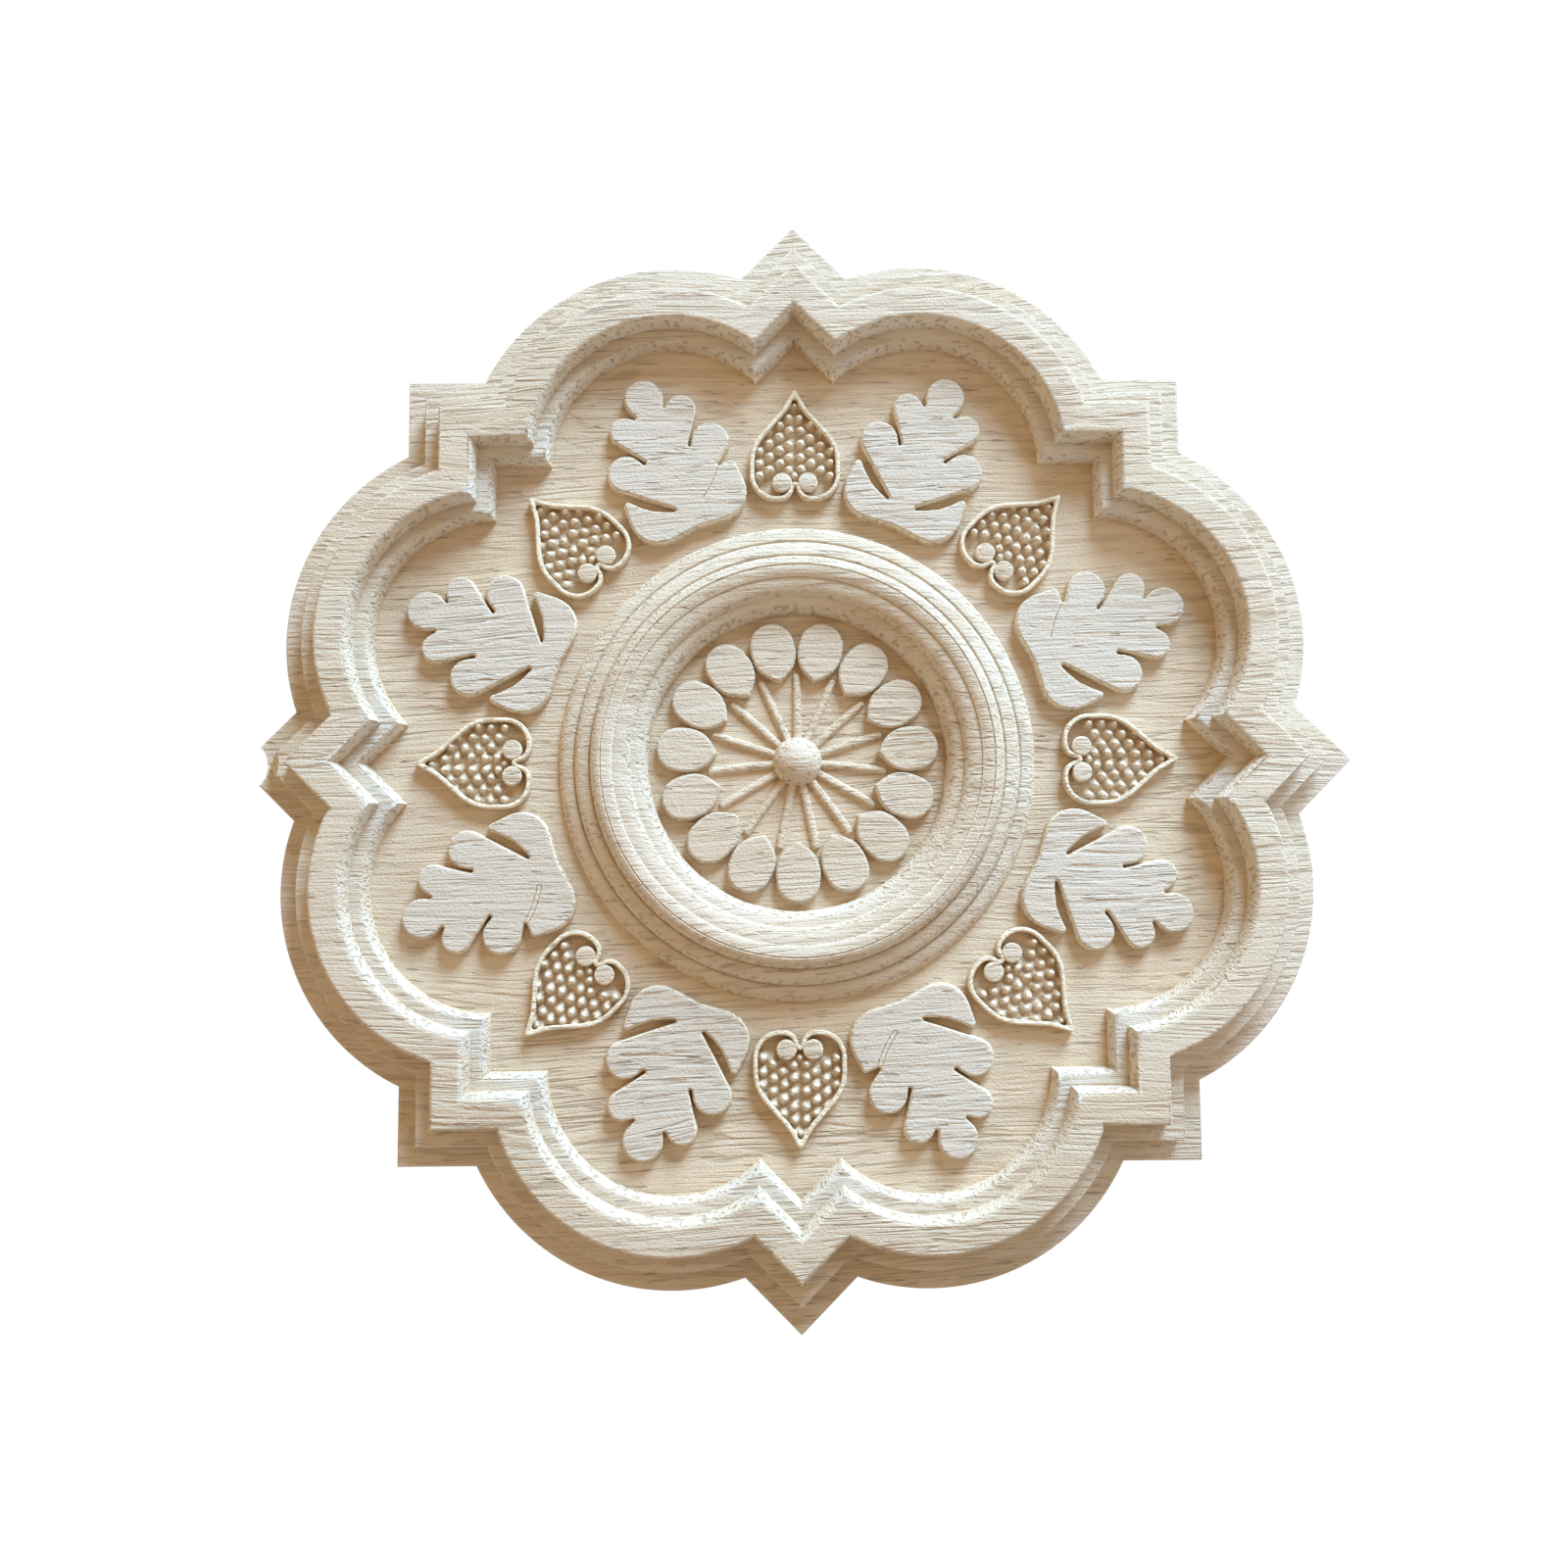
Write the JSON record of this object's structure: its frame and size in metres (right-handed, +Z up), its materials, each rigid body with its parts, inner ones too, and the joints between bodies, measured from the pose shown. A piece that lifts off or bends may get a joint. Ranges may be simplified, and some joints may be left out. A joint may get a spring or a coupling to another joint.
{
  "type": "carved wood applique",
  "caption": "Lobed rosette carved in relief from one board: stepped rim, ring moulding, oak leaves, hearts and a central wheel, fixed flat by its back.",
  "frame": {"origin": "centre of the flat back face, where the rosette is fixed", "axes": "+Y out of the back face into the wall, -Y out of the carved front, +Z up, +X to the viewer's right"},
  "size_m": [0.2951, 0.02, 0.3],
  "materials": {
    "pale_wood": "raw, sanded, open pores"
  },
  "bodies": {
    "root": {"carved_rosette": "pale_wood"}
  },
  "joints": []
}
